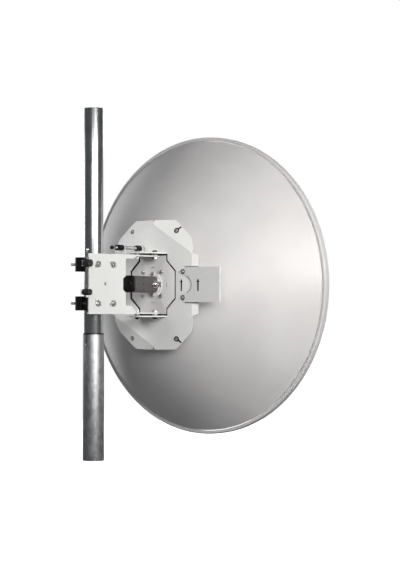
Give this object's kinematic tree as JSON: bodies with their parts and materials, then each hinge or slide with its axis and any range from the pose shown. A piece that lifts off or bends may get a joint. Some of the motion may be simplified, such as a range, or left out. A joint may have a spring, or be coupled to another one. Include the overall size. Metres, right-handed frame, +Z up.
{
  "type": "parabolic dish antenna",
  "caption": "Round parabolic dish antenna on a pole mount with tilt and turn screws, a feed unit behind the dish and a plate for a radio.",
  "frame": {"origin": "on the end ring of the mast's lower tube, at the foot; the mast's axis is 31.7 mm from it along +Y", "axes": "+Z up the mast, +Y the way the dish points, +X the side of the bracket's upright plate"},
  "size_m": [0.98, 0.6751, 1.085],
  "materials": {
    "galvanised_lower": "dull hot-dip galvanised",
    "galvanised_upper": "bright galvanised tube",
    "white_paint": "satin powder coat",
    "dish_paint": "matt paint",
    "steel": "plated fasteners",
    "zinc": "zinc plated thread",
    "dark_steel": "dark coated steel",
    "black_oxide": "black",
    "black_casting": "black coated casting",
    "grey_casting": "grey coated casting",
    "black_plastic": "satin",
    "nickel": "nickel plated",
    "aluminium": "turned"
  },
  "bodies": {
    "mast": {"mast_lower_tube": "galvanised_lower", "mast_upper_tube": "galvanised_upper", "clamp_plate": "white_paint", "elevation_pivot": "steel", "jaw_back_lower": "black_casting", "jaw_back_upper": "black_casting", "jaw_front_lower": "black_casting", "jaw_front_upper": "black_casting", "clamp_bolt_1": "steel", "clamp_bolt_2": "steel", "clamp_bolt_3": "steel", "clamp_bolt_4": "steel"},
    "bracket": {"web_bracket": "white_paint", "azimuth_pivot_lower": "steel", "azimuth_pivot_upper": "steel", "azimuth_lock_bolt_lower": "steel", "azimuth_lock_bolt_upper": "steel", "azimuth_adjusting_nut": "black_oxide", "azimuth_counter_nut": "zinc"},
    "elevation_screw": {"elevation_rod": "zinc", "elevation_lower_barrel": "dark_steel"},
    "elevation_nuts": {"elevation_upper_barrel": "dark_steel", "elevation_nut_upper": "dark_steel", "elevation_nut_lower": "dark_steel"},
    "azimuth_screw": {"azimuth_rod": "zinc", "azimuth_inner_nut": "black_oxide", "azimuth_end_nut": "zinc"},
    "dish": {"back_plate": "white_paint", "radio_plate": "white_paint", "hub_plate": "white_paint", "hub_ring": "white_paint", "standoff_1": "zinc", "standoff_2": "zinc", "standoff_3": "zinc", "standoff_4": "zinc", "feed_flange": "white_paint", "feed_housing": "grey_casting", "feed_end_cap": "black_plastic", "cable_connector": "nickel", "feed_tube": "aluminium", "sub_reflector": "aluminium", "reflector": "dish_paint", "rim_band": "dish_paint"}
  },
  "joints": [
    {"name": "elevation", "type": "hinge", "parent": "mast", "child": "bracket", "pos_m": [0.0446, 0.03173, 0.543], "axis": [1, 0, 0], "range_deg": [-10, 10]},
    {"name": "azimuth", "type": "hinge", "parent": "bracket", "child": "dish", "pos_m": [0.023, 0.29873, 0.543], "axis": [0, 0, 1], "range_deg": [-10, 10]},
    {"name": "elevation_screw_tilt", "type": "hinge", "parent": "mast", "child": "elevation_screw", "pos_m": [0.0575, -0.06288, 0.5175], "axis": [1, 0, 0], "range_deg": [-8, 8]},
    {"name": "elevation_nut_tilt", "type": "hinge", "parent": "bracket", "child": "elevation_nuts", "pos_m": [0.0575, -0.06288, 0.605], "axis": [1, 0, 0], "range_deg": [-4, 4]},
    {"name": "azimuth_screw_slide", "type": "slide", "parent": "bracket", "child": "azimuth_screw", "axis": [0, 1, 0], "range_m": [-0.0105, 0.0105]}
  ],
  "couplings": [
    {"joint": "elevation_screw_tilt", "follows": "elevation", "ratio": 0.72},
    {"joint": "elevation_nut_tilt", "follows": "elevation", "ratio": -0.28},
    {"joint": "azimuth_screw_slide", "follows": "azimuth", "m_per_rad": -0.0547}
  ]
}
